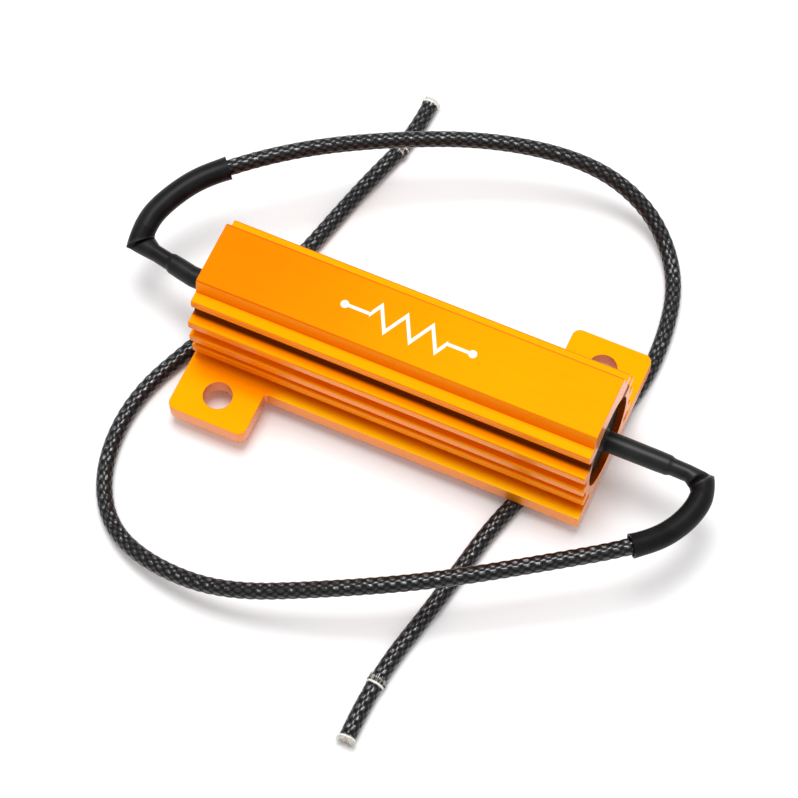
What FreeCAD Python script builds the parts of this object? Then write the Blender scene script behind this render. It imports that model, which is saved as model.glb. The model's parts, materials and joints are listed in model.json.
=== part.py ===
import FreeCAD, Part
import math
import os

# An aluminium-clad wirewound power resistor with two braided flying leads.
# X runs along the body, Y across it and Z up, in millimetres.
# The origin is the middle of the mounting face, between the two diagonal screw holes.
# The resistor lies loose, with both leads passing under it, so they reach one lead
# diameter below the mounting face.

# Housing: a finned extrusion with a round bore and a lug at each of two opposite corners
body_length = 50.0
body_height = 15.7
top_width = 8.3
top_edge_radius = 0.35
shoulder_flare = 0.4
flange_width = 16.8
flange_thickness = 2.2
lug_span = 29.0
lug_length = 10.0
lug_corner_radius = 1.0
notch_corner_radius = 0.3
hole_end_inset = 5.0
hole_side_inset = 3.7
hole_diameter = 3.5
bore_diameter = 11.0
bore_height = 7.1

# Side fins, listed from the lowest to the highest
fin_reach = [7.1, 7.35, 7.2, 5.95]
fin_thickness = 1.4
fin_pitch = 2.97
lowest_fin_height = 3.3
fin_tip_radius = 0.25
# Depth of the groove under each fin, from the shorter of the two tips beside it
groove_depth = [1.95, 0.75, 0.85, 0.6]

# Wound element in the bore
core_diameter = 6.0
core_end_inset = 6.0
cap_wall = 0.4
cap_depth = 3.5
cap_end_radius = 0.3
ribbon_width = 1.0
ribbon_thickness = 0.35
ribbon_clearance = 0.02
winding_turns = 10

# Terminals: a weld foot, a round stem and a half-flattened tab with an eye
terminal_foot_diameter = 4.0
terminal_foot_thickness = 0.5
terminal_stem_diameter = 1.6
terminal_stem_reach = 4.5
tab_length = 4.0
tab_thickness = 0.5
tab_eye_diameter = 0.8
tab_eye_inset = 1.1

# Moulded seals that close the bore, set in from the end faces
seal_thickness = 2.0
seal_recess = 0.8

# Lead: braid outside, insulation inside it, strands in the middle
lead_diameter = 2.0
insulation_diameter = 1.5
strand_diameter = 0.8
solder_length = 2.6
solder_start = 0.8

# Precut end: a short slug of covering left on the strands past a narrow gap
slug_length = 7.4
slug_gap = 0.5
strand_stub = 0.25

# Sleeve of shrunk tubing from the seal over the joint and the fold to the lead.
# Each station holds a distance from the seal and the half width across the route
# and the half height there.
sleeve_stations = [
    (0.0, 1.5, 1.5),
    (0.7, 1.27, 1.27),
    (3.8, 1.25, 1.25),
    (7.2, 1.25, 1.25),
    (8.4, 1.2, 1.22),
    (9.4, 1.02, 1.12),
    (11.4, 0.98, 1.14),
    (12.8, 0.9, 1.24),
    (13.7, 0.78, 1.34),
    (14.5, 0.75, 1.38),
    (15.3, 0.86, 1.38),
    (16.3, 1.15, 1.38),
    (17.6, 1.36, 1.4),
    (20.0, 1.4, 1.4),
]
sleeve_step = 3.2
sleeve_mouth_radius = 1.42
section_points = 12

# Share of the shorter run that an arc takes at each corner of a route, and the least
# length of edge that is kept where a path is divided
arc_share = 0.45
shortest_edge = 1e-6

# Route of each lead from the fold to its cut end, chosen by hand along the real one.
# The bare strands turn at the fold and meet the lead after the fold run, in line with it.
# Gripped is the length of lead inside the sleeve.
sides = {
    "right": {
        "turn": 0.0,
        "fold": (37.3, 0.0, 6.65),
        "fold_run": 1.55,
        "gripped": 10.8,
        "route": [
            (38.4, -2.6, 6.8), (37.6, -6.2, 6.8), (32.6, -11.6, 8.0), (25.6, -16.4, 7.8),
            (14.2, -23.6, 6.8), (3.4, -29.2, 6.0), (-8.4, -33.4, 2.8), (-18.2, -33.0, 0.8),
            (-25.4, -29.8, -1.0), (-29.4, -23.2, -1.0), (-30.0, -13.8, -1.0), (-26.2, -4.0, -1.0),
            (-20.4, 8.6, -1.0), (-17.0, 23.4, -1.0), (-14.2, 32.4, -1.0), (-14.2, 37.6, -1.0),
        ],
    },
    "left": {
        "turn": 180.0,
        "fold": (-36.6, 0.0, 6.65),
        "fold_run": 2.15,
        "gripped": 13.2,
        "route": [
            (-37.4, 3.6, 7.4), (-36.6, 6.4, 8.2), (-33.4, 11.0, 9.2), (-24.4, 18.6, 10.2),
            (-14.6, 25.8, 8.4), (-3.0, 31.4, 7.6), (8.2, 34.4, 5.4), (16.2, 33.6, 2.0),
            (21.6, 29.4, -1.0), (24.4, 22.6, -1.0), (25.0, 11.8, -1.0), (21.4, 1.4, -1.0),
            (16.2, -9.0, -1.0), (13.8, -22.6, -1.0), (11.0, -35.2, -1.0), (11.2, -42.6, -1.0),
        ],
    },
}

# Sizes that follow from the ones above
hole_pitch_x = body_length - 2 * hole_end_inset
hole_pitch_y = lug_span - 2 * hole_side_inset
bore_radius = bore_diameter / 2
core_radius = core_diameter / 2
core_length = body_length - 2 * core_end_inset
cap_radius = core_radius + cap_wall
cap_face = core_length / 2 + cap_wall
wound_half = core_length / 2 - cap_depth
wound_radius = core_radius + ribbon_clearance + ribbon_thickness
seal_outer = body_length / 2 - seal_recess
seal_inner = seal_outer - seal_thickness
stem_end = body_length / 2 + terminal_stem_reach
tab_end = stem_end + tab_length
stem_radius = terminal_stem_diameter / 2
strand_height = bore_height - strand_diameter / 2

x_axis = FreeCAD.Vector(1, 0, 0)
y_axis = FreeCAD.Vector(0, 1, 0)
z_axis = FreeCAD.Vector(0, 0, 1)
home = FreeCAD.Vector(0, 0, 0)


def vec(x, y, z):
    return FreeCAD.Vector(x, y, z)


def unit(v):
    return v * (1.0 / v.Length)


def turn_at(before, corner, after):
    """Angle in radians by which a route turns at its corner."""
    return (corner - before).getAngle(after - corner)


def corner_arc(before, corner, after, radius):
    """Start, middle and end of the arc that rounds a corner."""
    half_turn = turn_at(before, corner, after) / 2
    along_in = unit(corner - before)
    along_out = unit(after - corner)
    reach = radius * math.tan(half_turn)
    inward = unit(along_out - along_in)
    apex = corner + inward * (radius / math.cos(half_turn) - radius)
    return corner - along_in * reach, apex, corner + along_out * reach


def open_path(points, radii):
    """Straight runs joined by tangent arcs, with one radius for each inner point."""
    edges = []
    start = points[0]
    for before, corner, after, radius in zip(points, points[1:], points[2:], radii):
        first, middle, last = corner_arc(before, corner, after, radius)
        edges.append(Part.LineSegment(start, first).toShape())
        edges.append(Part.Arc(first, middle, last).toShape())
        start = last
    edges.append(Part.LineSegment(start, points[-1]).toShape())
    return edges


def closed_outline(corners, place):
    """Closed wire through (u, v, radius) corners, set in space by the place function."""
    points = [place(u, v) for u, v, radius in corners]
    ends = []
    edges = []
    for i, (u, v, radius) in enumerate(corners):
        before = points[i - 1]
        after = points[(i + 1) % len(points)]
        if radius > 0:
            first, middle, last = corner_arc(before, points[i], after, radius)
            edges.append(Part.Arc(first, middle, last).toShape())
            ends.append((first, last))
        else:
            ends.append((points[i], points[i]))
    for i in range(len(points)):
        edges.append(Part.LineSegment(ends[i - 1][1], ends[i][0]).toShape())
    return Part.Wire(Part.__sortEdges__(edges))


def cylinder_x(radius, start, end, y=0.0, z=bore_height):
    return Part.makeCylinder(radius, end - start, vec(start, y, z), x_axis)


def revolved_x(profile):
    """Solid turned about the bore's axis from (x, radius) corners."""
    points = [vec(x, 0, bore_height + radius) for x, radius in profile]
    face = Part.Face(Part.makePolygon(points + [points[0]]))
    return face.revolve(vec(0, 0, bore_height), x_axis, 360)


def turned(shape, angle):
    copy = shape.copy()
    copy.rotate(home, z_axis, angle)
    return copy


def housing_profile():
    """Right half of the finned section from the base to the top, as (y, z, radius)."""
    half = [(flange_width / 2, 0, 0), (flange_width / 2, flange_thickness, 0)]
    shelf = flange_thickness
    for i, reach in enumerate(fin_reach):
        underside = lowest_fin_height + i * fin_pitch
        shorter = reach if i == 0 else min(reach, fin_reach[i - 1])
        root = shorter - groove_depth[i]
        half.append((root, shelf, 0))
        half.append((root, underside, 0))
        half.append((reach, underside, fin_tip_radius))
        half.append((reach, underside + fin_thickness, fin_tip_radius))
        shelf = underside + fin_thickness
    half.append((top_width / 2 + shoulder_flare, shelf, 0))
    half.append((top_width / 2, body_height, top_edge_radius))
    mirrored = [(-y, z, radius) for y, z, radius in reversed(half)]
    return half + mirrored


def flange_outline():
    """Plan of the flange: narrow between the lugs, full width at two opposite corners."""
    end = body_length / 2
    root = end - lug_length
    wide = lug_span / 2
    narrow = flange_width / 2
    half = [
        (-end, -wide, lug_corner_radius),
        (-root, -wide, lug_corner_radius),
        (-root, -narrow, notch_corner_radius),
        (end, -narrow, 0),
    ]
    return half + [(-x, -y, radius) for x, y, radius in half]


def make_housing():
    section = closed_outline(housing_profile(), lambda y, z: vec(-body_length / 2, y, z))
    bar = Part.Face(section).extrude(x_axis * body_length)
    plan = closed_outline(flange_outline(), lambda x, y: vec(x, y, 0))
    plate = Part.Face(plan).extrude(z_axis * flange_thickness)
    body = bar.fuse(plate).removeSplitter()
    body = body.cut(cylinder_x(bore_radius, -body_length, body_length))
    for side in (-1, 1):
        foot = vec(side * hole_pitch_x / 2, side * hole_pitch_y / 2, -flange_thickness)
        body = body.cut(Part.makeCylinder(hole_diameter / 2, 3 * flange_thickness, foot, z_axis))
    return body


def make_winding():
    """Resistance ribbon wound on the core between the caps, as a true helix."""
    inner = core_radius + ribbon_clearance
    span = 2 * wound_half - ribbon_width
    helix = Part.makeHelix(span / winding_turns, span, wound_radius)
    half = ribbon_width / 2
    corners = [vec(inner, 0, -half), vec(wound_radius, 0, -half),
               vec(wound_radius, 0, half), vec(inner, 0, half)]
    section = Part.makePolygon(corners + [corners[0]])
    coil = Part.Wire(helix.Edges).makePipeShell([section], True, True)
    coil.rotate(home, y_axis, 90)
    coil.translate(vec(-span / 2, 0, bore_height))
    return coil


def make_cap():
    """Pressed cup over the core's end, on the right."""
    inner = core_length / 2
    return revolved_x([
        (wound_half, core_radius), (inner, core_radius), (inner, 0), (cap_face, 0),
        (cap_face, cap_radius - cap_end_radius), (cap_face - cap_end_radius, cap_radius),
        (wound_half, cap_radius),
    ])


def make_terminal():
    """Terminal on the right: foot welded to the cap, stem, and tab with an eye."""
    foot_end = cap_face + terminal_foot_thickness
    foot_radius = terminal_foot_diameter / 2
    stem = revolved_x([
        (cap_face, 0), (cap_face, foot_radius), (foot_end, foot_radius),
        (foot_end, stem_radius), (stem_end, stem_radius), (stem_end, 0),
    ])
    bar = cylinder_x(stem_radius, stem_end, tab_end)
    flat = Part.makeBox(tab_length, terminal_stem_diameter, tab_thickness,
                        vec(stem_end, -stem_radius, bore_height))
    eye_place = vec(tab_end - tab_eye_inset, 0, bore_height - tab_thickness)
    eye = Part.makeCylinder(tab_eye_diameter / 2, 3 * tab_thickness, eye_place, z_axis)
    return stem.fuse(bar.common(flat)).removeSplitter().cut(eye)


def make_potting():
    """Filler between the wound element and the bore, up to the seals."""
    block = cylinder_x(bore_radius, -seal_inner, seal_inner)
    foot_end = cap_face + terminal_foot_thickness
    half = [
        (wound_half, wound_radius + ribbon_clearance), (wound_half, cap_radius),
        (cap_face - cap_end_radius, cap_radius),
        (cap_face, cap_radius - cap_end_radius), (cap_face, terminal_foot_diameter / 2),
        (foot_end, terminal_foot_diameter / 2), (foot_end, stem_radius),
        (seal_inner, stem_radius), (seal_inner, 0),
    ]
    left = [(-x, radius) for x, radius in reversed(half)]
    return block.cut(revolved_x(left + half))


def make_seal():
    """Dark moulded plug that closes the bore round the right terminal."""
    return cylinder_x(bore_radius, seal_inner, seal_outer).cut(
        cylinder_x(stem_radius, seal_inner, seal_outer))


def route_radii(points):
    radii = []
    for before, corner, after in zip(points, points[1:], points[2:]):
        run = min((corner - before).Length, (after - corner).Length)
        radii.append(arc_share * run / math.tan(turn_at(before, corner, after) / 2))
    return radii


def part_of_path(edges, start, end):
    """Stretch of a path between two distances from its beginning, as edges."""
    pieces = []
    passed = 0.0
    for edge in edges:
        low = max(start - passed, 0.0)
        high = min(end - passed, edge.Length)
        if high - low > shortest_edge:
            first = edge.getParameterByLength(low)
            last = edge.getParameterByLength(high)
            pieces.append(Part.Edge(edge.Curve, first, last))
        passed += edge.Length
    return pieces


def point_on_path(edges, distance):
    """Place and direction at a distance along a path."""
    passed = 0.0
    for edge in edges:
        if distance <= passed + edge.Length or edge is edges[-1]:
            spot = edge.getParameterByLength(min(distance - passed, edge.Length))
            return edge.valueAt(spot), unit(edge.tangentAt(spot))
        passed += edge.Length


def tube(edges, diameter):
    """Round solid swept along the edges of a path."""
    start = edges[0].valueAt(edges[0].FirstParameter)
    along = edges[0].tangentAt(edges[0].FirstParameter)
    ring = Part.Wire(Part.Circle(start, along, diameter / 2).toShape())
    return Part.Wire(edges).makePipeShell([ring], True, False)


def path_length(edges):
    return sum(edge.Length for edge in edges)


def sleeve_section(edges, distance, half_width, half_height):
    """Closed oval across a path, always begun on the same side of it."""
    centre, along = point_on_path(edges, distance)
    across = unit(along.cross(z_axis))
    upward = across.cross(along)
    points = []
    for i in range(section_points):
        angle = 2 * math.pi * i / section_points
        points.append(centre + across * (half_width * math.cos(angle))
                      + upward * (half_height * math.sin(angle)))
    oval = Part.BSplineCurve()
    oval.interpolate(Points=points, PeriodicFlag=True)
    return Part.Wire(oval.toShape())


def make_sleeve(path, mouth, contents):
    """Shrunk tubing lofted along the terminal, round the fold and on to the lead."""
    stations = list(sleeve_stations)
    distance = stations[-1][0] + sleeve_step
    while distance < mouth - sleeve_step / 2:
        stations.append((distance, stations[-1][1], stations[-1][2]))
        distance += sleeve_step
    stations.append((mouth, sleeve_mouth_radius, sleeve_mouth_radius))
    sections = [sleeve_section(path, *station) for station in stations]
    sleeve = Part.makeLoft(sections, True, True)
    for piece in contents:
        sleeve = sleeve.cut(piece)
    return sleeve


def make_solder(strands):
    """Solder under the tab that holds the strands to it."""
    start = stem_end + solder_start
    pool = cylinder_x(stem_radius, start, start + solder_length)
    cover = Part.makeBox(3 * tab_length, 4 * stem_radius, 2 * stem_radius,
                         vec(stem_end - tab_length, -2 * stem_radius, bore_height))
    return pool.cut(cover).cut(strands)


def save(name, shape):
    """Write one node, after saying what it holds."""
    solids = shape.Solids
    if len(solids) != 1 or not shape.isValid():
        print("check", name, "solids", len(solids), "valid", shape.isValid())
    solid = solids[0] if len(solids) == 1 else shape
    solid.exportStep("parts/" + name + ".step")
    print(f"{name:24s} volume {solid.Volume:9.2f}")
    return solid


def build_side(name, side):
    """Everything from one end of the core to the cut end of its lead."""
    angle = side["turn"]
    sense = math.cos(math.radians(angle))
    terminal = turned(make_terminal(), angle)
    save("end_cap_" + name, turned(make_cap(), angle))
    save("terminal_" + name, terminal)
    save("end_seal_" + name, turned(make_seal(), angle))

    route = [vec(*point) for point in side["route"]]
    fold = [vec(*side["fold"]), route[0] + unit(route[0] - route[1]) * side["fold_run"]]
    radii = route_radii(route)
    print(name, "lead radii", [round(radius, 1) for radius in radii])
    lead_path = open_path(route, radii)
    full = path_length(lead_path)
    cut_at = full - slug_length - slug_gap
    lead = tube(part_of_path(lead_path, 0, cut_at), lead_diameter)
    ideal = math.pi * lead_diameter ** 2 / 4 * cut_at
    print(name, f"lead length {full:.1f}, volume over section times length {lead.Volume / ideal:.4f}")
    save("lead_" + name, lead)

    strand_start = vec(sense * (stem_end + solder_start / 2), 0, strand_height)
    strand_points = [strand_start] + fold + [route[0]]
    strand_path = open_path(strand_points, route_radii(strand_points))
    strands = tube(strand_path, strand_diameter)
    save("conductor_" + name, strands)
    solder = make_solder(turned(strands, -angle))
    solder = turned(solder, angle)
    save("solder_" + name, solder)

    joint_points = [vec(sense * seal_outer, 0, bore_height),
                    vec(sense * (tab_end - solder_length), 0, bore_height)]
    joint_points += fold + [route[0]]
    joint_path = open_path(joint_points, route_radii(joint_points))
    mouth = path_length(joint_path) + side["gripped"]
    contents = [terminal, strands, solder, lead]
    save("sleeve_" + name, make_sleeve(joint_path + lead_path, mouth, contents))

    slug_path = part_of_path(lead_path, full - slug_length, full)
    bare_path = part_of_path(lead_path, cut_at, full)
    core = tube(bare_path, insulation_diameter)
    save("slug_" + name, tube(slug_path, lead_diameter).cut(core))
    end, along = point_on_path(lead_path, full)
    stub = Part.makeCylinder(strand_diameter / 2, strand_stub, end, along)
    bare_strands = tube(bare_path, strand_diameter)
    save("inner_insulation_" + name, core.cut(bare_strands))
    save("strand_end_" + name, bare_strands.fuse(stub).removeSplitter())


os.makedirs("parts", exist_ok=True)
save("housing", make_housing())
save("ceramic_core", cylinder_x(core_radius, -core_length / 2, core_length / 2))
save("resistance_winding", make_winding())
save("potting", make_potting())
for side_name, side_data in sides.items():
    build_side(side_name, side_data)
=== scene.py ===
import bpy
import bmesh
import json
import math
import numpy as np
from mathutils import Matrix, Vector


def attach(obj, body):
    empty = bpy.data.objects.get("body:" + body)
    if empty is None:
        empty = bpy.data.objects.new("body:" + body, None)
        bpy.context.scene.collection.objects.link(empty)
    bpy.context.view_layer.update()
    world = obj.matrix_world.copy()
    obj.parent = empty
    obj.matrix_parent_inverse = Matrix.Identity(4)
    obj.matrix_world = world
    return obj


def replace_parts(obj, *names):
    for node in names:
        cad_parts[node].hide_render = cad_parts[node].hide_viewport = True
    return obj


# A finned wirewound resistor that lies on its two braided leads, seen from above.
# Lengths in the dictionaries are in millimetres, and mm turns them into metres.
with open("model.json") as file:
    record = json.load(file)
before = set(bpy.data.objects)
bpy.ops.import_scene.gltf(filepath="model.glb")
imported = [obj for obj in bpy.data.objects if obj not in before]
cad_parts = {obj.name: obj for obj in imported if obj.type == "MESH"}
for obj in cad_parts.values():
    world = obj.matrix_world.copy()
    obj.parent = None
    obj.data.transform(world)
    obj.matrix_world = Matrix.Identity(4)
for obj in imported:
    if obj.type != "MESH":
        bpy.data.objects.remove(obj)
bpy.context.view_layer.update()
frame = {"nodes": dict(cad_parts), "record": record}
nodes = frame["nodes"]
slotOf = {piece["node"]: piece["material_slot"] for piece in frame["record"]["subparts"]}
mm = 0.001
upright = np.array([0.0, 0.0, 1.0])
rng = np.random.default_rng(7)
print("frame loaded with", len(nodes), "nodes")


# Shader maths: a Shade is one output socket, and each operator adds a Math node to it
class Shade:
    def __init__(self, recipe, socket):
        self.recipe = recipe
        self.socket = socket

    def maths(self, operation, first, second=None, clamp=False):
        inputs = {0: first} if second is None else {0: first, 1: second}
        settings = {"operation": operation, "use_clamp": clamp}
        return self.recipe.node("ShaderNodeMath", settings, inputs)

    def __add__(self, other):
        return self.maths("ADD", self, other)

    def __sub__(self, other):
        return self.maths("SUBTRACT", self, other)

    def __rsub__(self, other):
        return self.maths("SUBTRACT", other, self)

    def __mul__(self, other):
        return self.maths("MULTIPLY", self, other)

    def __truediv__(self, other):
        return self.maths("DIVIDE", self, other)

    def __pow__(self, other):
        return self.maths("POWER", self, other)

    def __gt__(self, other):
        return self.maths("GREATER_THAN", self, other)

    def __lt__(self, other):
        return self.maths("LESS_THAN", self, other)

    def __abs__(self):
        return self.maths("ABSOLUTE", self)

    __radd__ = __add__
    __rmul__ = __mul__

    def least(self, other):
        return self.maths("MINIMUM", self, other)

    def most(self, other):
        return self.maths("MAXIMUM", self, other)

    def clamped(self):
        return self.maths("ADD", self, 0.0, clamp=True)


# One material: its nodes, its Principled shader and the ways to add to them
class Recipe:
    def __init__(self, name, constants):
        self.material = bpy.data.materials.new(name)
        self.material.use_nodes = True
        self.tree = self.material.node_tree
        self.shader = self.tree.nodes["Principled BSDF"]
        for socket, value in constants.items():
            self.shader.inputs[socket].default_value = value

    def feed(self, socket, value):
        if isinstance(value, Shade):
            self.tree.links.new(value.socket, socket)
        else:
            socket.default_value = value

    def node(self, kind, settings=None, inputs=None, output=0):
        new = self.tree.nodes.new(kind)
        for setting, value in (settings or {}).items():
            setattr(new, setting, value)
        for socket, value in (inputs or {}).items():
            self.feed(new.inputs[socket], value)
        return Shade(self, new.outputs[output])

    def spot(self):
        return self.node("ShaderNodeTexCoord", output="Object")

    def split(self, spot):
        return [self.node("ShaderNodeSeparateXYZ", None, {"Vector": spot}, k) for k in range(3)]

    def facing(self):
        # the three parts of the direction that the surface faces
        return self.split(self.node("ShaderNodeNewGeometry", output="Normal"))

    def stretched(self, spot, scale):
        return self.node("ShaderNodeMapping", None, {"Vector": spot, "Scale": scale})

    def noise(self, spot, scale, detail, roughness):
        inputs = {"Vector": spot, "Scale": scale, "Detail": detail, "Roughness": roughness}
        return self.node("ShaderNodeTexNoise", {"noise_dimensions": "3D"}, inputs)

    def step(self, value, low, high):
        # 0 below low, 1 above high and a smooth rise between them
        inputs = {"Value": value, "From Min": low, "From Max": high}
        return self.node("ShaderNodeMapRange", {"interpolation_type": "SMOOTHSTEP"}, inputs)

    def mixed(self, factor, first, second):
        inputs = {"Factor": factor, "A": first, "B": second}
        return self.node("ShaderNodeMix", {"data_type": "RGBA"}, inputs, "Result")

    def read(self, name):
        return self.node("ShaderNodeAttribute", {"attribute_name": name}, output="Fac")

    def bump(self, height, depth, strength, normal=None):
        inputs = {"Height": height, "Distance": depth * mm, "Strength": strength}
        if normal is not None:
            inputs["Normal"] = normal
        return self.node("ShaderNodeBump", None, inputs)

    def finish(self, **outputs):
        for socket, value in outputs.items():
            self.feed(self.shader.inputs[socket.replace("_", " ")], value)
        return self.material


def colour(red, green, blue):
    # a screen colour from 0 to 255, made linear
    parts = [c / 255 for c in (red, green, blue)]
    linear = [c / 12.92 if c < 0.04045 else ((c + 0.055) / 1.055) ** 2.4 for c in parts]
    return (*linear, 1.0)


# The resistor sign etched into the top: a zigzag with a straight end and a dot each way
sign = {
    "zigHalfLength": 4.8,
    "zigPeriods": 3,
    "zigHeight": 1.5,
    "halfLength": 8.0,
    "dotRadius": 0.5,
    "lineHalf": 0.2,
    "softEdge": 0.04,
    "lowest": 15.6,
    "tone": colour(250, 244, 232),
    "roughness": 0.7,
    "depth": 0.5,
}


def etchedSign(recipe, x, y, z, look):
    # distance from the drawn line: the zigzag is a triangle wave, and its distance is
    # the height above it times the cosine of its slope
    half = look["zigHalfLength"] * mm
    period = 2 * half / look["zigPeriods"]
    height = look["zigHeight"] * mm
    slope = 4 * height / period
    phase = (x + half) / period + 0.25
    wave = recipe.node("ShaderNodeMath", {"operation": "PINGPONG"}, {0: phase, 1: 0.5})
    zig = abs(y - (4.0 * wave - 1.0) * height) / math.hypot(1.0, slope)
    inside = abs(x) < half
    pastTip = abs(x) - look["halfLength"] * mm
    straight = abs(y).most(pastTip.most(0.0))
    line = inside * zig + (1.0 - inside) * straight
    dot = (pastTip ** 2.0 + y ** 2.0) ** 0.5 - (look["dotRadius"] - look["lineHalf"]) * mm
    edge, soft = look["lineHalf"] * mm, look["softEdge"] * mm
    drawn = 1.0 - recipe.step(line.least(dot), edge - soft, edge + soft)
    return drawn * (z > look["lowest"] * mm)


# Orange anodising over an extruded and milled bar, with drawn lines along X and a satin
# grain. A noise is given by its scale, detail and roughness.
anodising = {
    "deep": colour(241, 119, 0),  # the top from its left end to its right one, lighter to the right by a painted reflection
    "light": colour(248, 145, 0),
    "reflectionFrom": -22.0,
    "reflectionTo": 14.0,
    "lower": colour(250, 152, 0),  # level faces under the top
    "lowerBelow": 14.6,
    "wall": colour(238, 142, 0),  # upright faces, which mirror the pale ground
    "wallCoat": 0.7,
    "uprightBelow": 0.5,
    "sideBelow": 0.5,
    "shoulder": colour(243, 150, 0),  # the wall right under the top, which mirrors less
    "shoulderFrom": 13.7,
    "shoulderDull": 0.75,
    "rim": colour(255, 204, 16),  # painted light on the open edge of the flange's top, between the lugs, out of the fins' shade
    "rimHeight": 2.2,
    "rimWithin": 0.1,
    "rimFrom": 6.9,
    "rimTo": 8.3,
    "lugFrom": 12.0,
    "lugTo": 15.2,
    "milled": colour(232, 146, 74),  # cut faces, which took the dye less
    "milledBeyond": 8.9,
    "endBeyond": 0.7,
    # painted shade on the bore's wall, which lies recessed in the end
    "boreShade": colour(158, 66, 0),
    "boreReach": 5.6,
    "boreHeight": 7.1,
    "shade": colour(140, 70, 0),  # painted shade in the deepest groove, where the fin above keeps the light out
    "shadeFrom": 9.9,
    "shadeTo": 11.5,
    "shadeHalfWidth": 6.25,
    "shadeSoft": 0.5,
    "metallic": 1.0,
    "roughness": 0.6,
    "unevenness": 0.1,
    "coat": 0.02,
    "coatRoughness": 0.22,
    "coatIndex": 1.5,
    "cloud": (140.0, 3.0, 0.5),
    "lines": (9000.0, 3.0, 0.6),
    "lineStretch": (0.012, 1.0, 1.0),
    "lineDepth": 0.004,
    "grain": (7000.0, 3.0, 0.65),
    "grainDepth": 0.006,
    "relief": 0.5,
    "toneShares": (0.55, 0.25, 0.2),  # of cloud, lines and grain
    "mottling": 0.6,
}


def anodisedTone(recipe, x, tone, look):
    # the top's two tones: a painted reflection that lightens it from left to right along X, and its
    # mottling
    pale = recipe.step(x, look["reflectionFrom"] * mm, look["reflectionTo"] * mm)
    share = (pale + look["mottling"] * (tone - 0.5)).clamped()
    return recipe.mixed(share, look["deep"], look["light"])


def flangeLitEdge(recipe, x, y, z, wall, look):
    # where light is painted: 1 along the open edges of the flange's top, fading out towards the lugs
    byLug = (x * y > 0.0) * recipe.step(abs(x), look["lugFrom"] * mm, look["lugTo"] * mm)
    level = (abs(z - look["rimHeight"] * mm) < look["rimWithin"] * mm) * (1.0 - wall)
    outer = recipe.step(abs(y), look["rimFrom"] * mm, look["rimTo"] * mm)
    return (1.0 - byLug) * level * outer


def anodisedMetal(look, etching):
    recipe = Recipe("orangeAnodising", {"Coat Roughness": look["coatRoughness"],
                                        "Coat IOR": look["coatIndex"]})
    spot = recipe.spot()
    x, y, z = recipe.split(spot)
    nx, _, nz = (abs(part) for part in recipe.facing())
    cloud = recipe.noise(spot, *look["cloud"])
    lines = recipe.noise(recipe.stretched(spot, look["lineStretch"]), *look["lines"])
    grain = recipe.noise(spot, *look["grain"])
    ofCloud, ofLines, ofGrain = look["toneShares"]
    tone = (ofCloud * cloud + ofLines * lines + ofGrain * grain).clamped()
    # masks, each 0 or 1 but for soft edges
    etched = etchedSign(recipe, x, y, z, etching)
    plain = 1.0 - etched
    wall = nz < look["uprightBelow"]
    alongBody = nx < look["sideBelow"]
    shoulder = wall * (z > look["shoulderFrom"] * mm) * alongBody
    # painted light along the open edge of the flange's top
    rim = flangeLitEdge(recipe, x, y, z, wall, look)
    milled = (nx > look["endBeyond"]).most(wall * (abs(y) > look["milledBeyond"] * mm))
    # painted shade on the bore's wall, within boreReach of its axis
    fromBoreAxis = (y ** 2.0 + (z - look["boreHeight"] * mm) ** 2.0) ** 0.5
    inBore = (fromBoreAxis < look["boreReach"] * mm) * alongBody
    # painted shade: the inside of the deepest groove, under the fin above it, is darkened
    widest = look["shadeHalfWidth"] * mm
    deepWall = 1.0 - recipe.step(abs(y), widest - look["shadeSoft"] * mm, widest)
    groove = (z > look["shadeFrom"] * mm) * (z < look["shadeTo"] * mm) * deepWall
    # tones, each laid over the ones before it
    orange = anodisedTone(recipe, x, tone, look)
    orange = recipe.mixed(z < look["lowerBelow"] * mm, orange, look["lower"])
    orange = recipe.mixed(wall, orange, look["wall"])
    orange = recipe.mixed(shoulder, orange, look["shoulder"])
    orange = recipe.mixed(rim, orange, look["rim"])
    orange = recipe.mixed(milled, orange, look["milled"])
    orange = recipe.mixed(inBore, orange, look["boreShade"])
    orange = recipe.mixed(groove, orange, look["shade"])
    mirrors = wall * (1.0 - look["shoulderDull"] * shoulder) * (1.0 - inBore) * (1.0 - groove)
    uneven = look["unevenness"] * (grain - 0.5) + look["unevenness"] * (lines - 0.5)
    return recipe.finish(
        Base_Color=recipe.mixed(etched, orange, etching["tone"]),
        Metallic=look["metallic"] * plain,
        Roughness=(look["roughness"] + uneven) * plain + etching["roughness"] * etched,
        Coat_Weight=(look["coat"] + look["wallCoat"] * mirrors) * plain,
        Normal=recipe.bump(grain - etching["depth"] * etched, look["grainDepth"], look["relief"],
                           recipe.bump(lines, look["lineDepth"], look["relief"])),
    )


# Black shrink tubing: satin, with a faint orange-peel skin and slightly worn patches
tubing = {
    "skin": colour(9, 9, 10),
    "worn": colour(20, 20, 23),
    "wornRise": (0.35, 0.75),
    "roughness": 0.42,
    "cloudRoughness": 0.16,
    "peelRoughness": 0.1,
    "specular": 0.12,
    "coatRoughness": 0.4,
    "leastGloss": 0.7,
    "cloudGloss": 0.6,
    "cloud": (420.0, 2.0, 0.5),
    "peel": (2600.0, 3.0, 0.6),
    "peelDepth": 0.012,
    "relief": 0.6,
}


def shrunkTubing(look):
    recipe = Recipe("blackShrinkTubing", {"Specular IOR Level": look["specular"],
                                          "Coat Roughness": look["coatRoughness"]})
    spot = recipe.spot()
    cloud = recipe.noise(spot, *look["cloud"])
    peel = recipe.noise(spot, *look["peel"])
    uneven = look["cloudRoughness"] * (cloud - 0.5) + look["peelRoughness"] * (peel - 0.5)
    return recipe.finish(
        Base_Color=recipe.mixed(recipe.step(cloud, *look["wornRise"]), look["skin"], look["worn"]),
        Roughness=look["roughness"] + uneven,
        Coat_Weight=recipe.read("gloss") * (look["leastGloss"] + look["cloudGloss"] * cloud),
        Normal=recipe.bump(peel, look["peelDepth"], look["relief"]),
    )
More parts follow.
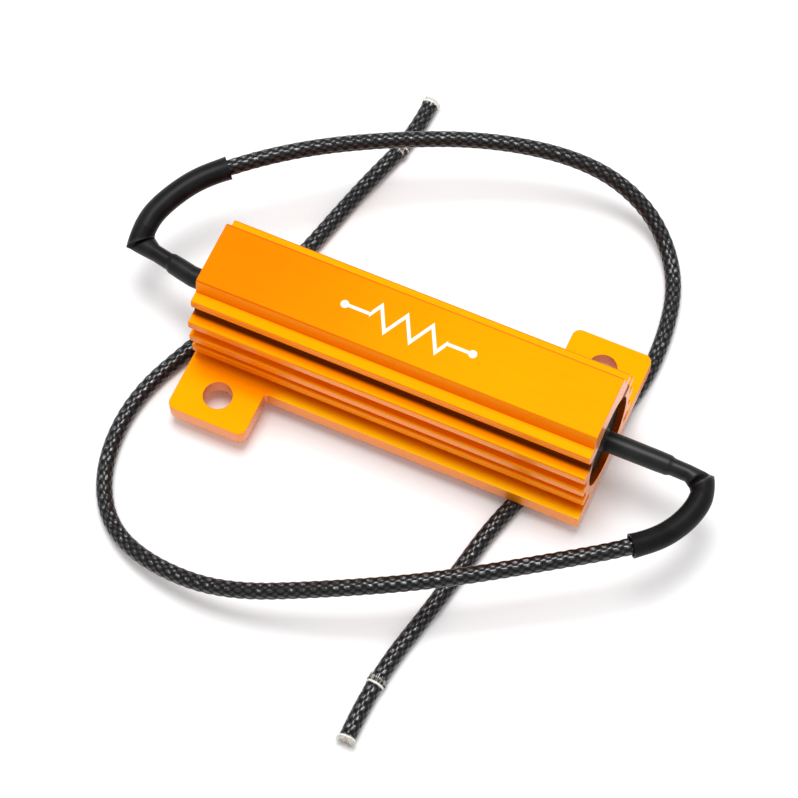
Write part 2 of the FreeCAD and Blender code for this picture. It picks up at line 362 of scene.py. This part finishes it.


# Lacquered black glass braid: painted shade between the strands, glossy on their backs with painted
# highlight flecks, and pale where it is cut. Each rise is where a value starts and stops to count.
weave = {
    "hollowShade": colour(2, 2, 3),
    "back": colour(12, 12, 13),
    "backRise": (0.25, 0.85),
    "lacquerRise": (0.4, 0.85),
    "glint": colour(190, 192, 198),
    "glintShare": 0.8,
    "glintCrown": (0.62, 0.92),
    "glintFuzz": (0.42, 0.6),
    "glintPatch": (0.42, 0.58),
    "glintUpward": (0.74, 0.97),
    "cut": colour(232, 230, 224),
    "cutRise": (0.3, 0.6),
    "cutFuzz": 0.5,
    "roughness": 0.62,
    "crownSmoothness": 0.3,
    "fuzzRoughness": 0.2,
    "specular": 0.2,
    "coatRoughness": 0.16,
    "fuzz": (4200.0, 3.0, 0.7),
    "fuzzDepth": 0.02,
    "relief": 0.7,
    "patch": (1300.0, 2.0, 0.5),
}


def glassBraid(look):
    recipe = Recipe("blackGlassBraid", {"Specular IOR Level": look["specular"],
                                        "Coat Roughness": look["coatRoughness"]})
    spot = recipe.spot()
    crown = recipe.read("crown")
    fuzz = recipe.noise(spot, *look["fuzz"])
    patch = recipe.noise(spot, *look["patch"])
    upward = recipe.facing()[2]
    # painted shade: darker in the hollows between the strands, lighter on their backs, by the crown
    # height
    tone = recipe.mixed(recipe.step(crown, *look["backRise"]), look["hollowShade"], look["back"])
    # painted highlight: pale flecks painted on the lacquered backs where they face up towards the light
    glint = recipe.step(crown, *look["glintCrown"]) * recipe.step(fuzz, *look["glintFuzz"])
    glint = glint * recipe.step(patch, *look["glintPatch"]) * recipe.step(upward, *look["glintUpward"])
    tone = recipe.mixed(look["glintShare"] * glint, tone, look["glint"])
    frayed = recipe.step(recipe.read("frayed") + look["cutFuzz"] * (fuzz - 0.5), *look["cutRise"])
    uneven = look["fuzzRoughness"] * (fuzz - 0.5)
    return recipe.finish(
        Base_Color=recipe.mixed(frayed, tone, look["cut"]),
        Roughness=look["roughness"] - look["crownSmoothness"] * crown + uneven,
        Coat_Weight=recipe.step(crown, *look["lacquerRise"]),
        Normal=recipe.bump(fuzz, look["fuzzDepth"], look["relief"]),
    )


# Plain finishes of the pieces that show little or nothing, by slot: a name, two tones
# mixed by a noise, how metallic and how rough it is, and the noise's scale
finishes = {
    "moulding_compound": ("darkMoulding", colour(3, 2, 2), colour(10, 7, 6), 0.0, 0.75, 900.0),
    "ceramic": ("ceramicBody", colour(226, 220, 206), colour(205, 197, 182), 0.0, 0.55, 500.0),
    "resistance_wire": ("resistanceAlloy", colour(122, 112, 104), colour(88, 80, 74), 0.9, 0.4, 1500.0),
    "plated_steel": ("platedSteel", colour(176, 176, 174), colour(150, 149, 146), 0.95, 0.32, 800.0),
    "tinned_copper": ("tinnedCopper", colour(196, 128, 84), colour(168, 150, 140), 0.95, 0.35, 2500.0),
    "solder": ("softSolder", colour(182, 183, 186), colour(150, 151, 154), 0.9, 0.35, 1200.0),
    "glass_fibre": ("whiteGlassFibre", colour(244, 240, 232), colour(206, 198, 186), 0.0, 0.65, 6000.0),
}
mottled = {
    "specular": 0.15,
    "detail": 3.0,
    "noiseRoughness": 0.6,
    "rise": (0.3, 0.7),
    "unevenness": 0.2,
    "depth": 0.01,
    "relief": 0.5,
}


def plainFinish(look, name, light, dark, metallic, roughness, scale):
    recipe = Recipe(name, {"Metallic": metallic, "Specular IOR Level": look["specular"]})
    mottle = recipe.noise(recipe.spot(), scale, look["detail"], look["noiseRoughness"])
    return recipe.finish(
        Base_Color=recipe.mixed(recipe.step(mottle, *look["rise"]), light, dark),
        Roughness=roughness + look["unevenness"] * (mottle - 0.5),
        Normal=recipe.bump(mottle, look["depth"], look["relief"]),
    )


materials = {
    "anodised_aluminium": anodisedMetal(anodising, sign),
    "shrink_tubing": shrunkTubing(tubing),
    "glass_braid": glassBraid(weave),
}
for slotName, parts in finishes.items():
    materials[slotName] = plainFinish(mottled, *parts)
print("materials made:", len(materials))


def newPiece(name, mesh, slotName):
    # an object in the scene with its finish, riding on the body
    piece = bpy.data.objects.new(name, mesh)
    bpy.context.collection.objects.link(piece)
    mesh.materials.clear()
    mesh.materials.append(materials[slotName])
    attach(piece, "root")
    return piece


def unit(rows):
    return rows / np.linalg.norm(rows, axis=-1, keepdims=True)


def easing(t):
    # a smooth step from 0 to 1: t * t * (3 - 2 t)
    return t * t * (3 - 2 * t)


def cornersOf(mesh):
    spots = np.empty(len(mesh.vertices) * 3)
    mesh.vertices.foreach_get("co", spots)
    return spots.reshape(-1, 3)


def meshOf(name, spots, faces, attributes=None):
    mesh = bpy.data.meshes.new(name)
    mesh.from_pydata(spots.tolist(), [], faces)
    for key, values in (attributes or {}).items():
        layer = mesh.attributes.new(key, "FLOAT", "POINT")
        layer.data.foreach_set("value", np.ascontiguousarray(values, dtype=np.float32).ravel())
    mesh.polygons.foreach_set("use_smooth", np.full(len(mesh.polygons), True))
    mesh.update()
    return mesh


def gridFaces(rows, columns, first=0):
    # quads between neighbouring rings of a tube, wound so that they face outwards
    i, j = np.meshgrid(np.arange(rows - 1), np.arange(columns), indexing="ij")
    near, k = i * columns, (j + 1) % columns
    far = near + columns
    quads = np.stack([near + j, far + j, far + k, near + k], -1)
    return (quads.reshape(-1, 4) + first).tolist()


def tubeMesh(name, grid, attributes=None):
    # closed skin over rings of points, with a fan of triangles at each end
    rows, columns = grid.shape[:2]
    spots = np.concatenate([grid.reshape(-1, 3), grid[0].mean(0)[None], grid[-1].mean(0)[None]])
    j = np.arange(columns)
    k = (j + 1) % columns
    start = np.stack([np.full(columns, rows * columns), j, k], -1)
    last = (rows - 1) * columns
    end = np.stack([np.full(columns, rows * columns + 1), last + k, last + j], -1)
    faces = gridFaces(rows, columns) + start.tolist() + end.tolist()
    padded = {}
    for key, values in (attributes or {}).items():
        padded[key] = np.append(values.ravel(), [0.0, 0.0])
    return meshOf(name, spots, faces, padded)


# Lines that pieces follow: order and steps of a spline, and how far each way from a
# place its direction is taken
splines = {"order": 3, "steps": 40, "reach": 0.15}


def smoothLine(points):
    # the points that Blender draws for a NURBS spline with these control points
    curve = bpy.data.curves.new("line", "CURVE")
    curve.dimensions = "3D"
    curve.resolution_u = splines["steps"]
    spline = curve.splines.new("NURBS")
    spline.points.add(len(points) - 1)
    corners = np.column_stack([np.array(points) * mm, np.ones(len(points))])
    spline.points.foreach_set("co", corners.ravel())
    spline.order_u = splines["order"]
    spline.use_endpoint_u = True
    holder = bpy.data.objects.new("line", curve)
    drawn = bpy.data.meshes.new_from_object(holder)
    spots = cornersOf(drawn)
    bpy.data.meshes.remove(drawn)
    bpy.data.objects.remove(holder)
    bpy.data.curves.remove(curve)
    return spots


def lineLength(line):
    return np.linalg.norm(np.diff(line, axis=0), axis=1).sum()


def distancesAlong(line):
    return np.append(0.0, np.cumsum(np.linalg.norm(np.diff(line, axis=0), axis=1)))


def pointsAt(line, distances):
    # places on a line at distances along it, and the directions along, across and up there
    away = distancesAlong(line)

    def place(wanted):
        return np.column_stack([np.interp(wanted, away, line[:, k]) for k in range(3)])

    reach = splines["reach"] * mm
    ahead = place(np.minimum(distances + reach, away[-1]))
    behind = place(np.maximum(distances - reach, 0))
    along = unit(ahead - behind)
    across = unit(np.cross(along, upright))
    return place(distances), along, across, np.cross(across, along)


def ringAngles(columns):
    return 2 * np.pi * np.arange(columns) / columns


def ringGrid(line, distances, radius, angles):
    # circles round a line: centre + across * r * cos(angle) + up * r * sin(angle)
    centre, along, across, up = pointsAt(line, distances)
    sideways = across[:, None] * (radius * np.cos(angles))[..., None]
    upwards = up[:, None] * (radius * np.sin(angles))[..., None]
    return centre[:, None] + sideways + upwards


# Housing: the frame's own shape, with fine breaks along its sharp edges
mergeWithin = 0.001
housing = {"flatWithin": 0.5, "edgeBreak": 0.1, "edgeSteps": 2, "sharpAngle": 50.0, "flatWeight": 100}


def mergedCopy(name, node):
    # a copy of a CAD node's loose triangles, in which corners within mergeWithin are one
    source = nodes[node].data
    spots = cornersOf(source)
    corners = np.empty(len(source.loops), dtype=int)
    source.loops.foreach_get("vertex_index", corners)
    grid = np.round(spots / (mergeWithin * mm)).astype(int)
    _, kept, joined = np.unique(grid, axis=0, return_index=True, return_inverse=True)
    faces = joined.ravel()[corners].reshape(-1, 3)
    faces = faces[(faces != np.roll(faces, 1, axis=1)).all(axis=1)]
    return meshOf(name, spots[kept], faces.tolist())


def makeHousing(look):
    # flat neighbours join into whole faces, so that the bevel finds only real edges
    mesh = mergedCopy("housing_body", "housing")
    work = bmesh.new()
    work.from_mesh(mesh)
    bmesh.ops.dissolve_limit(work, angle_limit=math.radians(look["flatWithin"]),
                             verts=work.verts, edges=work.edges)
    work.to_mesh(mesh)
    work.free()
    piece = newPiece("housing_body", mesh, "anodised_aluminium")
    bevel = piece.modifiers.new("edges", "BEVEL")
    bevel.width = look["edgeBreak"] * mm
    bevel.segments = look["edgeSteps"]
    bevel.limit_method = "ANGLE"
    bevel.angle_limit = math.radians(look["sharpAngle"])
    even = piece.modifiers.new("even shading", "WEIGHTED_NORMAL")
    even.weight = look["flatWeight"]
    even.keep_sharp = True
    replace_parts(piece, "housing")


makeHousing(housing)
print("housing made")


# The two ends of the resistor. A sleeve runs from the seal along its axis, folds at its
# crease and runs along its arm, and grips the first stretch of the lead, which follows
# the route, point for point the one in the part's source.
sides = {
    "right": {
        "sense": 1.0,
        "axis": [(24.2, 0.0, 7.1), (32.8, 0.0, 7.1), (34.9, -0.05, 7.1)],
        "creaseTip": (37.85, 0.74, 7.1),
        "creaseInner": (35.77, -1.71, 7.0),
        "arm": [(37.7, -1.9, 7.0), (36.9, -5.6, 7.2), (34.0, -9.6, 7.6), (31.6, -12.1, 7.8)],
        "neck": 8.2,
        "gripped": 10.8,
        "gloss": (0.38, 0.04),  # before and after the crease
        "route": [
            (38.4, -2.6, 6.8), (37.6, -6.2, 6.8), (32.6, -11.6, 8.0), (25.6, -16.4, 7.8),
            (14.2, -23.6, 6.8), (3.4, -29.2, 6.0), (-8.4, -33.4, 2.8), (-18.2, -33.0, 0.8),
            (-25.4, -29.8, -1.0), (-29.4, -23.2, -1.0), (-30.0, -13.8, -1.0), (-26.2, -4.0, -1.0),
            (-20.4, 8.6, -1.0), (-17.0, 23.4, -1.0), (-14.2, 32.4, -1.0), (-14.2, 37.6, -1.0),
        ],
    },
    "left": {
        "sense": -1.0,
        "axis": [(-24.2, 0.0, 7.1), (-28.2, 0.1, 7.1), (-33.5, 1.15, 7.1)],
        "creaseTip": (-37.2, 0.55, 7.0),
        "creaseInner": (-34.6, 2.95, 7.1),
        "arm": [(-36.2, 3.0, 7.6), (-35.7, 6.3, 8.4), (-33.2, 10.1, 9.1), (-30.4, 13.4, 9.5)],
        "neck": 6.9,
        "gripped": 13.2,
        "gloss": (0.22, 0.12),
        "route": [
            (-37.4, 3.6, 7.4), (-36.6, 6.4, 8.2), (-33.4, 11.0, 9.2), (-24.4, 18.6, 10.2),
            (-14.6, 25.8, 8.4), (-3.0, 31.4, 7.6), (8.2, 34.4, 5.4), (16.2, 33.6, 2.0),
            (21.6, 29.4, -1.0), (24.4, 22.6, -1.0), (25.0, 11.8, -1.0), (21.4, 1.4, -1.0),
            (16.2, -9.0, -1.0), (13.8, -22.6, -1.0), (11.0, -35.2, -1.0), (11.2, -42.6, -1.0),
        ],
    },
}

# The braided lead. Its last stretch is the slug, beyond a gap where the braid is cut.
lead = {
    "radius": 1.0,
    "carriers": 8,
    "pitch": 1.27,
    "swell": 0.062,
    "weave": 0.034,
    "sunk": 0.018,
    "rows": 10.0,
    "fewestRows": 8,
    "columns": 56,
    "hidden": 2.6,
    "gap": 0.5,
    "cuts": (0.0, 0.8),  # how frayed each end is
    "flares": (0.0, 0.0),  # how far each end opens
    "slug": 7.4,
    "slugCuts": (1.0, 1.0),
    "slugFlares": (0.16, 0.16),
    "flareReach": 0.9,
    "frayedReach": 0.28,
    "pathPoints": 400,
}


def braidHeight(turns, rows, carriers):
    # Two sets of strands wind opposite ways. Each has a round back, 1 - (2 f) ^ 2 across
    # its width, and rides over every second strand of the other set as a cosine wave.
    # The second set is pulled tighter, so it lies a little lower.
    a = carriers * turns + rows
    b = carriers * turns - rows
    i, j = np.floor(a), np.floor(b)
    backA = 1 - (2 * (a - i - 0.5)) ** 2
    backB = 1 - (2 * (b - j - 0.5)) ** 2
    waveA = np.cos(np.pi * (b - 0.5 - i))
    waveB = -np.cos(np.pi * (a - 0.5 - j))
    highA = lead["swell"] * backA + lead["weave"] * waveA
    highB = lead["swell"] * backB + lead["weave"] * waveB - lead["sunk"]
    return np.maximum(highA, highB)


def braidPiece(name, line, start, end, replaced, flares, cuts):
    count = max(lead["fewestRows"], round((end - start) / mm * lead["rows"]))
    distances = np.linspace(start, end, count)
    turns = np.arange(lead["columns"]) / lead["columns"]
    rows = distances / mm / lead["pitch"]
    height = braidHeight(turns[None], rows[:, None], lead["carriers"])
    top = lead["swell"] + lead["weave"]
    # a cut end opens like a bell, by its flare times t squared
    fromEnds = np.stack([distances - start, end - distances]) / mm
    opened = np.array(flares) @ np.clip(1 - fromEnds / lead["flareReach"], 0, 1) ** 2
    frayed = np.array(cuts) @ np.exp(-fromEnds / lead["frayedReach"])
    radius = (lead["radius"] - top + height + opened[:, None]) * mm
    grid = ringGrid(line, distances, radius, 2 * np.pi * turns)
    attributes = {"crown": (height / top).clip(0, 1), "frayed": np.repeat(frayed, lead["columns"])}
    piece = newPiece(name, tubeMesh(name, grid, attributes), "glass_braid")
    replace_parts(piece, replaced)
    return piece


# Shrunk sleeve. A station holds a distance, from the seal in start and from the side's
# neck in neck, and the half width and half height of the tubing there.
sleeve = {
    "start": [(0.0, 1.5, 1.5), (0.7, 1.27, 1.27)],
    "neck": [(-1.4, 1.25, 1.25), (0.0, 1.22, 1.22), (0.7, 1.02, 1.1), (3.8, 1.0, 1.1)],
    "arm": (1.4, 1.36),
    "creaseReach": 1.9,
    "ridgeHeight": 1.22,
    "slitDepth": 0.6,
    "slitPlace": 0.36,
    "slitWidth": 0.24,
    "wall": 0.26,
    "mouthFlare": 0.06,
    "mouthReach": 1.5,
    "innerReach": 1.6,
    "innerRings": 8,
    "rimGloss": 0.9,
    "rimReach": 0.3,
    "joining": 10.0,  # before the mouth, where the arm starts to join the lead's line
    "joined": 0.8,
    "rows": 9.0,
    "columns": 56,
    "sharpAngle": 40.0,
}


def creaseOf(facts):
    # the crease's middle, and half of its line from its inner end to its tip
    tip, inner = np.array(facts["creaseTip"]) * mm, np.array(facts["creaseInner"]) * mm
    return (tip + inner) / 2, (tip - inner) / 2


def steppedSizes(stations, distances):
    # the stations' sizes, with an eased step from each to the next
    stations = np.array(stations)
    k = np.clip(np.searchsorted(stations[:, 0], distances, "right") - 1, 0, len(stations) - 2)
    low, high = stations[k], stations[k + 1]
    t = np.clip((distances - low[:, 0]) / (high[:, 0] - low[:, 0]), 0, 1)
    return (low + (high - low) * easing(t)[:, None])[:, 1:]


def creasedTube(centre, across, up, wide, tall, ramp, crease):
    # ovals that lean into the crease: near it the half width becomes the crease's own
    # half line, by a ramp from 0 to 1
    side = across * (wide * (1 - ramp))[:, None] * mm - crease * ramp[:, None]
    lift = up * tall[:, None] * mm
    angles = ringAngles(sleeve["columns"])[:, None]
    return centre[:, None] + side[:, None] * np.cos(angles) + lift[:, None] * np.sin(angles)


def straightRings(facts):
    # from the seal along the axis, with a slit pressed in just before the crease
    middle, crease = creaseOf(facts)
    axis = np.vstack([np.array(facts["axis"]) * mm, middle])
    length = lineLength(axis)
    distances = np.linspace(0, length, round(length / mm * sleeve["rows"]))
    stations = sleeve["start"] + [(facts["neck"] + a, b, c) for a, b, c in sleeve["neck"]]
    wide, tall = steppedSizes(stations, distances / mm).T
    short = (length - distances) / mm
    ramp = np.clip(1 - short / (lineLength(axis[-2:]) / mm), 0, 1)
    fromSlit = (short - sleeve["slitPlace"]) / sleeve["slitWidth"]
    tall = tall - sleeve["slitDepth"] * np.exp(-fromSlit ** 2)
    centre = pointsAt(axis, distances)[0]
    across = np.tile((0.0, -facts["sense"], 0.0), (len(centre), 1))
    return creasedTube(centre, across, np.tile(upright, (len(centre), 1)), wide, tall, ramp, crease)


def armRings(facts, arm, mouth):
    # from the crease to the mouth, and back inside by the wall's thickness. The folded
    # edge catches light: its gloss rises by rimGloss * exp(-(distance / rimReach) ^ 2).
    crease = creaseOf(facts)[1]
    halfWidth, halfHeight = sleeve["arm"]
    distances = np.linspace(0, mouth, round(mouth / mm * sleeve["rows"]))[1:]
    ramp = np.clip(1 - distances / mm / sleeve["creaseReach"], 0, 1)
    nearMouth = np.clip(1 - (mouth - distances) / (sleeve["mouthReach"] * mm), 0, 1)
    flare = nearMouth ** 2 * sleeve["mouthFlare"]
    wide = halfWidth + flare
    tall = halfHeight + (sleeve["ridgeHeight"] - halfHeight) * ramp + flare
    centre, along, across, up = arm(distances)
    outside = creasedTube(centre, across, up, wide, tall, ramp, crease)
    back = mouth - np.linspace(0, sleeve["innerReach"] * mm, sleeve["innerRings"])
    bore = np.full(len(back), wide[-1] - sleeve["wall"])
    centre, along, across, up = arm(back)
    inside = creasedTube(centre, across, up, bore, bore, np.zeros(len(back)), crease)
    rim = sleeve["rimGloss"] * np.exp(-(distances / mm / sleeve["rimReach"]) ** 2)
    return np.concatenate([outside, inside]), np.append(rim, np.zeros(len(back)))


def sleevePiece(name, facts, arm, mouth, replaced):
    straight = straightRings(facts)
    folded, rim = armRings(facts, arm, mouth)
    before, after = facts["gloss"]
    gloss = np.append(np.full(len(straight), before), after + rim)
    mesh = tubeMesh(name, np.concatenate([straight, folded]),
                    {"gloss": np.repeat(gloss, sleeve["columns"])})
    mesh.set_sharp_from_angle(angle=math.radians(sleeve["sharpAngle"]))
    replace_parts(newPiece(name, mesh, "shrink_tubing"), replaced)


def armPoints(armLine, line, mouth, gripped, distances):
    # the arm's own line, eased over its last stretch on to the lead's line
    before = (mouth - distances) / mm
    t = np.clip((sleeve["joining"] - before) / (sleeve["joining"] - sleeve["joined"]), 0, 1)
    share = easing(t)[:, None]
    own = pointsAt(armLine, distances)
    leads = pointsAt(line, np.maximum(gripped - before * mm, 0))
    return [a * (1 - share) + b * share for a, b in zip(own, leads)]


def bentPiece(node, facts):
    # a copy of a hidden piece, cut where its sleeve's axis bends and moved sideways with
    # it: y plus the axis's own y at that x
    axis = np.array(facts["axis"]) * mm
    mesh = mergedCopy("bent_" + node, node)
    work = bmesh.new()
    work.from_mesh(mesh)
    for place in axis:
        everything = work.verts[:] + work.edges[:] + work.faces[:]
        bmesh.ops.bisect_plane(work, geom=everything, plane_co=place, plane_no=(1, 0, 0))
    work.to_mesh(mesh)
    work.free()
    spots, sense = cornersOf(mesh), facts["sense"]
    spots[:, 1] += np.interp(spots[:, 0] * sense, axis[:, 0] * sense, axis[:, 1])
    mesh.vertices.foreach_set("co", spots.ravel())
    mesh.update()
    mesh.set_sharp_from_angle(angle=math.radians(housing["sharpAngle"]))
    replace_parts(newPiece("bent_" + node, mesh, slotOf[node]), node)


# The bare strands inside a sleeve, from the solder round the crease to the lead
strands = {
    "start": 29.1,
    "height": 6.65,
    "radius": 0.36,
    "armFrom": 0.2,
    "armPoints": 9,
    "rows": 60,
    "columns": 16,
}


def strandPiece(name, facts, arm, end, replaced):
    middle = creaseOf(facts)[0] / mm
    start = (facts["sense"] * strands["start"], 0.0, strands["height"])
    first = [start, facts["axis"][-1], middle, middle]
    later = arm(np.linspace(strands["armFrom"], 1, strands["armPoints"]) * end)[0] / mm
    line = smoothLine(np.vstack([first, later]))
    distances = np.linspace(0, lineLength(line), strands["rows"])
    grid = ringGrid(line, distances, strands["radius"] * mm, ringAngles(strands["columns"]))
    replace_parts(newPiece(name, tubeMesh(name, grid), "tinned_copper"), replaced)


# Loose fibres at a cut: inner and outer are the ring that they start on, and inset is
# how far inside the slug's end it lies. Pale fibres count as frayed.
fibre = {"parts": 5, "sides": 3, "shortest": 0.3, "taper": 0.6, "crown": 0.6}
cutEnd = {
    "count": 260,
    "inset": 0.15,
    "inner": 0.72,
    "outer": 1.06,
    "reach": 0.75,
    "spread": 0.2,
    "thick": 0.045,
    "facing": 1.0,
    "pale": (0.6, 1.3),
}
cutMark = {
    "count": 230,
    "inset": 0.1,
    "inner": 0.84,
    "outer": 1.1,
    "reach": 1.15,
    "spread": 0.12,
    "thick": 0.032,
    "facing": -1.0,
    "pale": (-0.3, 0.75),
}


def frayPiece(name, line, distance, look):
    # fibres that start on a ring and curl outwards: each is a thin three-sided spike
    # start + (along * reach + outward * spread * t) * t, for t from 0 to 1
    count, parts, sidesOfOne = look["count"], fibre["parts"], fibre["sides"]
    centre, along, across, up = pointsAt(line, np.array([distance]))
    angles = rng.uniform(0, 2 * np.pi, count)[:, None]
    outward = across * np.cos(angles) + up * np.sin(angles)
    sideways = np.cross(outward, along)
    start = centre + outward * rng.uniform(look["inner"], look["outer"], count)[:, None] * mm
    reach = rng.uniform(fibre["shortest"], 1.0, count)[:, None] * look["reach"] * mm
    spread = rng.normal(0, 1.0, (count, 2)) * look["spread"] * mm
    t = np.linspace(0, 1, parts)
    curl = outward * abs(spread[:, :1]) + sideways * spread[:, 1:]
    straight = (along * look["facing"] * reach)[:, None] * t[:, None]
    spine = start[:, None] + straight + curl[:, None] * (t ** 2)[:, None]
    corners = ringAngles(sidesOfOne)[:, None]
    ring = outward[:, None, None] * np.cos(corners) + sideways[:, None, None] * np.sin(corners)
    thick = look["thick"] * mm * (1 - fibre["taper"] * t)
    spots = spine[:, :, None] + ring * thick[None, :, None, None]
    faces = []
    for one in range(count):
        faces += gridFaces(parts, sidesOfOne, one * parts * sidesOfOne)
    pale = rng.uniform(*look["pale"], count)
    attributes = {"frayed": np.repeat(pale, parts * sidesOfOne),
                  "crown": np.full(count * parts * sidesOfOne, fibre["crown"])}
    return newPiece(name, meshOf(name, spots.reshape(-1, 3), faces, attributes), "glass_braid")


def buildSide(side, facts):
    line = smoothLine(facts["route"])
    full = lineLength(line)
    gripped, slugLength = facts["gripped"] * mm, lead["slug"] * mm
    hidden = gripped - lead["hidden"] * mm
    cut = full - slugLength - lead["gap"] * mm
    # the arm's line runs from the crease past the sleeve's mouth
    armLine = smoothLine([tuple(creaseOf(facts)[0] / mm)] + facts["arm"] + facts["route"][4:6])
    mouthSpot = pointsAt(line, np.array([gripped]))[0]
    mouth = distancesAlong(armLine)[np.argmin(np.linalg.norm(armLine - mouthSpot, axis=1))]

    def arm(distances):
        return armPoints(armLine, line, mouth, gripped, distances)

    braid = braidPiece("braid_" + side, line, hidden, cut, "lead_" + side,
                       lead["flares"], lead["cuts"])
    slug = braidPiece("slug_braid_" + side, line, full - slugLength, full, "slug_" + side,
                      lead["slugFlares"], lead["slugCuts"])
    sleevePiece("sleeve_tube_" + side, facts, arm, mouth, "sleeve_" + side)
    bentPiece("terminal_" + side, facts)
    bentPiece("solder_" + side, facts)
    strandPiece("bare_strands_" + side, facts, arm, mouth - lead["hidden"] * mm, "conductor_" + side)
    ends = frayPiece("cut_end_fibres_" + side, line, full - cutEnd["inset"] * mm, cutEnd)
    marks = frayPiece("cut_mark_fibres_" + side, line,
                      full - slugLength + cutMark["inset"] * mm, cutMark)
    path = pointsAt(line, np.linspace(hidden, cut, lead["pathPoints"]))[0]
    cut - hidden
    print(side, "lead made,", round(full / mm, 1), "mm long")


for side, facts in sides.items():
    buildSide(side, facts)

# Every CAD node that still shows takes the finish of its own slot
for node, slotName in slotOf.items():
    for place in nodes[node].material_slots:
        place.material = materials[slotName]
print("finishes set")

# A pale floor under the leads, an even sky, and a soft light from above and a little behind
studio = {
    "floorHeight": -2.0,
    "floorSize": 3000.0,
    "floorTone": colour(251, 251, 252),
    "floorRoughness": 0.9,
    "floorSpecular": 0.1,
    "sky": colour(255, 255, 255),
    "skyStrength": 0.72,
    "keyPower": 4.3,
    "keySize": 360.0,
    "keyDistance": 800.0,
    "keyTilt": 9.0,
    "keyTurn": 26.0,
}


def makeFloor(look):
    half = look["floorSize"] / 2 * mm
    height = look["floorHeight"] * mm
    plan = np.array([(-half, -half), (half, -half), (half, half), (-half, half)])
    spots = np.column_stack([plan, np.full(len(plan), height)])
    recipe = Recipe("paleFloor", {"Base Color": look["floorTone"],
                                  "Roughness": look["floorRoughness"],
                                  "Specular IOR Level": look["floorSpecular"]})
    floor = bpy.data.objects.new("floor", meshOf("floor", spots, [(0, 1, 2, 3)]))
    floor.data.materials.append(recipe.material)
    bpy.context.collection.objects.link(floor)


def makeLight(look):
    world = bpy.data.worlds.new("studioSky")
    bpy.context.scene.world = world
    world.use_nodes = True
    sky = world.node_tree.nodes["Background"]
    sky.inputs["Color"].default_value = look["sky"]
    sky.inputs["Strength"].default_value = look["skyStrength"]
    tilt, turn = math.radians(look["keyTilt"]), math.radians(look["keyTurn"])
    lean = math.sin(tilt)
    away = Vector((-math.sin(turn) * lean, math.cos(turn) * lean, math.cos(tilt)))
    lamp = bpy.data.lights.new("softbox", "AREA")
    lamp.shape = "SQUARE"
    lamp.size = look["keySize"] * mm
    lamp.energy = look["keyPower"]
    holder = bpy.data.objects.new("softbox", lamp)
    holder.location = away * look["keyDistance"] * mm
    holder.rotation_euler = away.to_track_quat("Z", "Y").to_euler()
    bpy.context.collection.objects.link(holder)


# Camera: angles in degrees, and the focal length in pixels of an image of that width
camera = {
    "azimuth": 26.442,
    "elevation": 63.822,
    "roll": -2.363,
    "distance": 365.716,
    "target": (0.984, -5.163, 8.0),
    "focalPixels": 3166.007,
    "imageWidth": 798,
    "sensor": 36.0,
    "clipStart": 10.0,
}


def makeCamera(look):
    # the camera stands on a line from its target, set by azimuth and elevation, and rolls
    azimuth, elevation = math.radians(look["azimuth"]), math.radians(look["elevation"])
    level = math.cos(elevation)
    back = Vector((math.sin(azimuth) * level, -math.cos(azimuth) * level, math.sin(elevation)))
    aside = Vector((0, 0, 1)).cross(back).normalized()
    rise = back.cross(aside)
    roll = math.radians(look["roll"])
    right = aside * math.cos(roll) + rise * math.sin(roll)
    over = rise * math.cos(roll) - aside * math.sin(roll)
    lens = bpy.data.cameras.new("camera")
    lens.sensor_width = look["sensor"]
    lens.lens = look["focalPixels"] / look["imageWidth"] * look["sensor"]
    lens.clip_start = look["clipStart"] * mm
    holder = bpy.data.objects.new("camera", lens)
    turned = Matrix((right, over, back)).transposed().to_4x4()
    turned.translation = (Vector(look["target"]) + back * look["distance"]) * mm
    holder.matrix_world = turned
    bpy.context.collection.objects.link(holder)
    bpy.context.scene.camera = holder


makeFloor(studio)
makeLight(studio)
makeCamera(camera)
bpy.context.scene.view_settings.view_transform = "Standard"
print("studio made")
